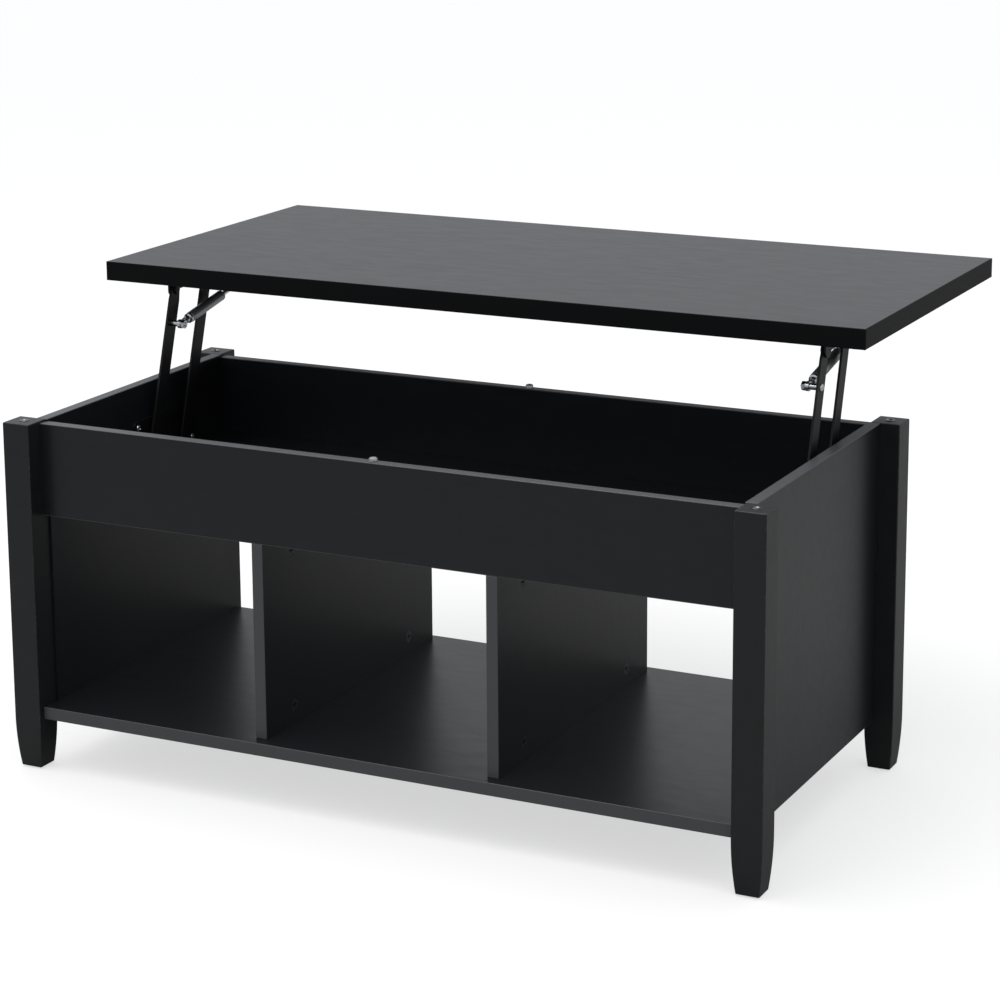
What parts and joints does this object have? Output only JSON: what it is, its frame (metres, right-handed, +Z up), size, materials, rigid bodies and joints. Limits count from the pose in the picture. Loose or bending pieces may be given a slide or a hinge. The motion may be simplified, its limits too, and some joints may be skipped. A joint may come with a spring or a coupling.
{
  "type": "lift top coffee table",
  "caption": "Coffee table whose top lifts up and back on sprung parallel arms over a hidden compartment, with open cubbies and a lower shelf.",
  "frame": {"origin": "on the floor, under the middle of the base", "axes": "+X along the length to the right, +Y to the rear (the way the top moves as it rises), +Z up"},
  "size_m": [1.041, 0.7585, 0.604],
  "materials": {
    "black_board": "black satin melamine on particle board",
    "black_wood": "black satin paint",
    "dowel_wood": "fluted beech dowel",
    "black_steel": "black powder coat",
    "zinc_steel": "bright zinc plate",
    "strut_paint": "dark grey satin paint",
    "chrome_rod": "hard chrome",
    "black_plastic": "moulded",
    "clear_silicone": "clear soft pad"
  },
  "bodies": {
    "base": {"leg_front_left": "black_wood", "leg_front_right": "black_wood", "leg_rear_left": "black_wood", "leg_rear_right": "black_wood", "side_panel_left": "black_board", "side_panel_right": "black_board", "apron_front": "black_board", "apron_rear": "black_board", "compartment_floor": "black_board", "divider_left": "black_board", "divider_right": "black_board", "bottom_shelf": "black_board", "joint_dowels": "dowel_wood", "cam_locks": "zinc_steel", "cam_bolts": "zinc_steel", "leg_top_inserts": "zinc_steel", "foot_glides": "black_plastic", "lid_bumpers": "clear_silicone", "base_bracket_left": "black_steel", "base_bracket_right": "black_steel", "base_bracket_screws": "zinc_steel", "base_pivot_pins": "black_steel", "base_pivot_spacers": "zinc_steel", "arm_stop_pegs": "black_steel"},
    "front_arm_left": {"front_arm_left": "black_steel", "arm_bolt_left": "zinc_steel", "arm_bolt_sleeve_left": "zinc_steel", "arm_bolt_nut_left": "zinc_steel"},
    "rear_arm_left": {"rear_arm_left": "black_steel"},
    "strut_tube_left": {"strut_end_cap_left": "zinc_steel", "strut_tube_left": "strut_paint", "strut_gland_left": "black_plastic"},
    "strut_rod_left": {"strut_rod_left": "chrome_rod", "strut_rod_eye_left": "black_plastic", "rod_bolt_left": "zinc_steel", "rod_bolt_nut_left": "zinc_steel"},
    "front_arm_right": {"front_arm_right": "black_steel", "arm_bolt_right": "zinc_steel", "arm_bolt_sleeve_right": "zinc_steel", "arm_bolt_nut_right": "zinc_steel"},
    "rear_arm_right": {"rear_arm_right": "black_steel"},
    "strut_tube_right": {"strut_end_cap_right": "zinc_steel", "strut_tube_right": "strut_paint", "strut_gland_right": "black_plastic"},
    "strut_rod_right": {"strut_rod_right": "chrome_rod", "strut_rod_eye_right": "black_plastic", "rod_bolt_right": "zinc_steel", "rod_bolt_nut_right": "zinc_steel"},
    "top": {"tabletop": "black_board", "top_bracket_left": "black_steel", "top_bracket_right": "black_steel", "top_bracket_screws": "zinc_steel", "top_pivot_pins": "black_steel", "top_pivot_washers": "zinc_steel"}
  },
  "joints": [
    {"name": "lift", "type": "hinge", "parent": "base", "child": "front_arm_left", "pos_m": [-0.451, 0.01233, 0.35311], "axis": [1, 0, 0], "range_deg": [0, 85.23]},
    {"name": "top_level", "type": "hinge", "parent": "front_arm_left", "child": "top", "pos_m": [-0.451, 0.0765, 0.563], "axis": [1, 0, 0], "range_deg": [-85.24, 0]},
    {"name": "front_arm_right_swing", "type": "hinge", "parent": "base", "child": "front_arm_right", "pos_m": [0.451, 0.01233, 0.35311], "axis": [1, 0, 0], "range_deg": [0, 85.24]},
    {"name": "rear_arm_left_swing", "type": "hinge", "parent": "base", "child": "rear_arm_left", "pos_m": [-0.451, 0.08733, 0.35311], "axis": [1, 0, 0], "range_deg": [0, 85.24]},
    {"name": "rear_arm_right_swing", "type": "hinge", "parent": "base", "child": "rear_arm_right", "pos_m": [0.451, 0.08733, 0.35311], "axis": [1, 0, 0], "range_deg": [0, 85.24]},
    {"name": "strut_turn_left", "type": "hinge", "parent": "front_arm_left", "child": "strut_tube_left", "pos_m": [-0.436, 0.06334, 0.51997], "axis": [1, 0, 0], "range_deg": [-90.74, 0]},
    {"name": "strut_stroke_left", "type": "slide", "parent": "strut_tube_left", "child": "strut_rod_left", "axis": [0, 0.9811, 0.1935], "range_m": [-0.05829, 0]},
    {"name": "strut_turn_right", "type": "hinge", "parent": "front_arm_right", "child": "strut_tube_right", "pos_m": [0.436, 0.06334, 0.51997], "axis": [1, 0, 0], "range_deg": [-90.74, 0]},
    {"name": "strut_stroke_right", "type": "slide", "parent": "strut_tube_right", "child": "strut_rod_right", "axis": [0, 0.9811, 0.1935], "range_m": [-0.05829, 0]}
  ],
  "couplings": [
    {"joint": "top_level", "follows": "lift", "ratio": -1},
    {"joint": "front_arm_right_swing", "follows": "lift", "ratio": 1},
    {"joint": "rear_arm_left_swing", "follows": "lift", "ratio": 1},
    {"joint": "rear_arm_right_swing", "follows": "lift", "ratio": 1},
    {"joint": "strut_turn_left", "follows": "lift", "ratio": -1.0644},
    {"joint": "strut_stroke_left", "follows": "lift", "m_per_rad": -0.039175},
    {"joint": "strut_turn_right", "follows": "lift", "ratio": -1.0644},
    {"joint": "strut_stroke_right", "follows": "lift", "m_per_rad": -0.039175}
  ]
}
